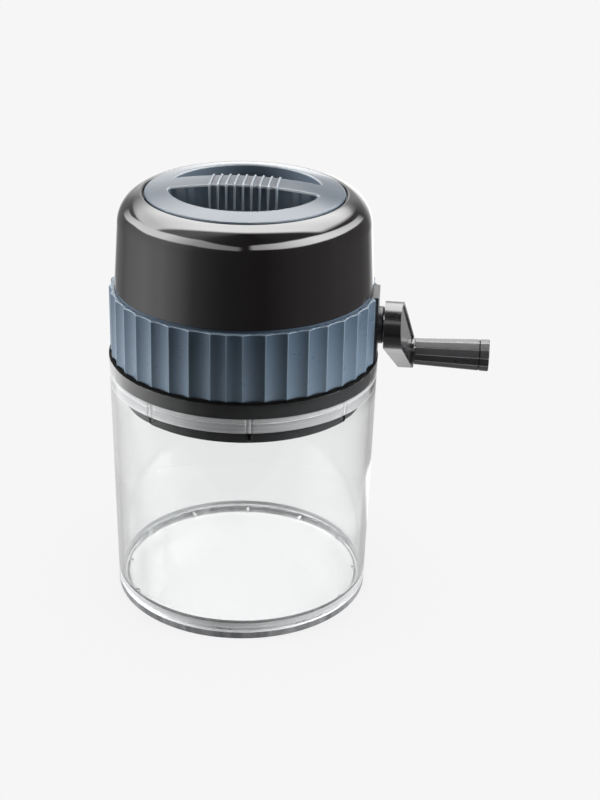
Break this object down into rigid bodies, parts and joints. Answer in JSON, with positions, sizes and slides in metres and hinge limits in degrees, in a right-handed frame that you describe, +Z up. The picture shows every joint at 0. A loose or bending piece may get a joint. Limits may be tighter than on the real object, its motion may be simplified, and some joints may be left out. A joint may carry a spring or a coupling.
{
  "type": "hand-cranked ice crusher",
  "caption": "Hand-cranked ice crusher: a clear cup, a black domed head with a fluted ring, a lift-off lid and a side crank turning a toothed rotor between steel combs.",
  "frame": {"origin": "centre of the circle on which the cup's foot ring stands", "axes": "+Z up along the cup's axis, +X towards the crank, -Y towards the front"},
  "size_m": [0.1899, 0.1338, 0.2171],
  "materials": {
    "clear_plastic": "clear moulded plastic, polished",
    "frame_black": "black moulded plastic",
    "slate_plastic": "slate-blue moulded plastic, satin",
    "dome_black": "black moulded plastic, high gloss",
    "inner_grey": "grey moulded plastic",
    "blade_steel": "stamped stainless steel",
    "screw_steel": "bright steel",
    "bush_plastic": "natural bearing plastic",
    "lid_slate": "slate-blue moulded plastic, satin",
    "seal_rubber": "soft silicone",
    "shaft_steel": "turned stainless steel",
    "crank_black": "black moulded plastic, gloss",
    "crank_inlay": "black moulded plastic, high gloss",
    "grip_black": "smoke-black moulded plastic, gloss",
    "spacer_steel": "turned stainless steel"
  },
  "bodies": {
    "cup": {"clear_cup": "clear_plastic"},
    "head": {"head_frame": "frame_black", "grip_ring": "slate_plastic", "dome_housing": "dome_black", "feed_funnel": "inner_grey", "crushing_chamber": "inner_grey", "front_comb": "blade_steel", "rear_comb": "blade_steel", "comb_screws": "screw_steel", "housing_screws": "screw_steel", "crank_side_bush": "bush_plastic", "far_side_bush": "bush_plastic", "bearing_block": "frame_black"},
    "lid": {"lid_cap": "lid_slate", "lid_seal": "seal_rubber"},
    "crank": {"crank_shaft": "shaft_steel", "shaft_clip": "screw_steel", "crank_arm": "crank_black", "crank_cover": "crank_inlay", "crank_screw": "screw_steel", "grip_pin": "shaft_steel", "grip_washer": "screw_steel", "rotor_blade_1": "blade_steel", "rotor_blade_2": "blade_steel", "rotor_blade_3": "blade_steel", "rotor_blade_4": "blade_steel", "rotor_blade_5": "blade_steel", "rotor_blade_6": "blade_steel", "rotor_spacer_1": "spacer_steel", "rotor_spacer_2": "spacer_steel", "rotor_spacer_3": "spacer_steel", "rotor_spacer_4": "spacer_steel", "rotor_spacer_5": "spacer_steel", "rotor_spacer_6": "spacer_steel", "rotor_spacer_7": "spacer_steel"},
    "grip": {"crank_grip": "grip_black", "grip_end_cap": "grip_black"}
  },
  "joints": [
    {"name": "head_lift", "type": "slide", "parent": "cup", "child": "head", "axis": [0, 0, 1], "range_m": [0, 0.06]},
    {"name": "lid_lift", "type": "slide", "parent": "head", "child": "lid", "axis": [0, 0, 1], "range_m": [0, 0.05]},
    {"name": "crank_spin", "type": "hinge", "parent": "head", "child": "crank", "pos_m": [0, 0, 0.146], "axis": [1, 0, 0], "continuous": true},
    {"name": "grip_spin", "type": "hinge", "parent": "crank", "child": "grip", "pos_m": [0.1, 0.03993, 0.11591], "axis": [1, 0, 0], "continuous": true}
  ]
}
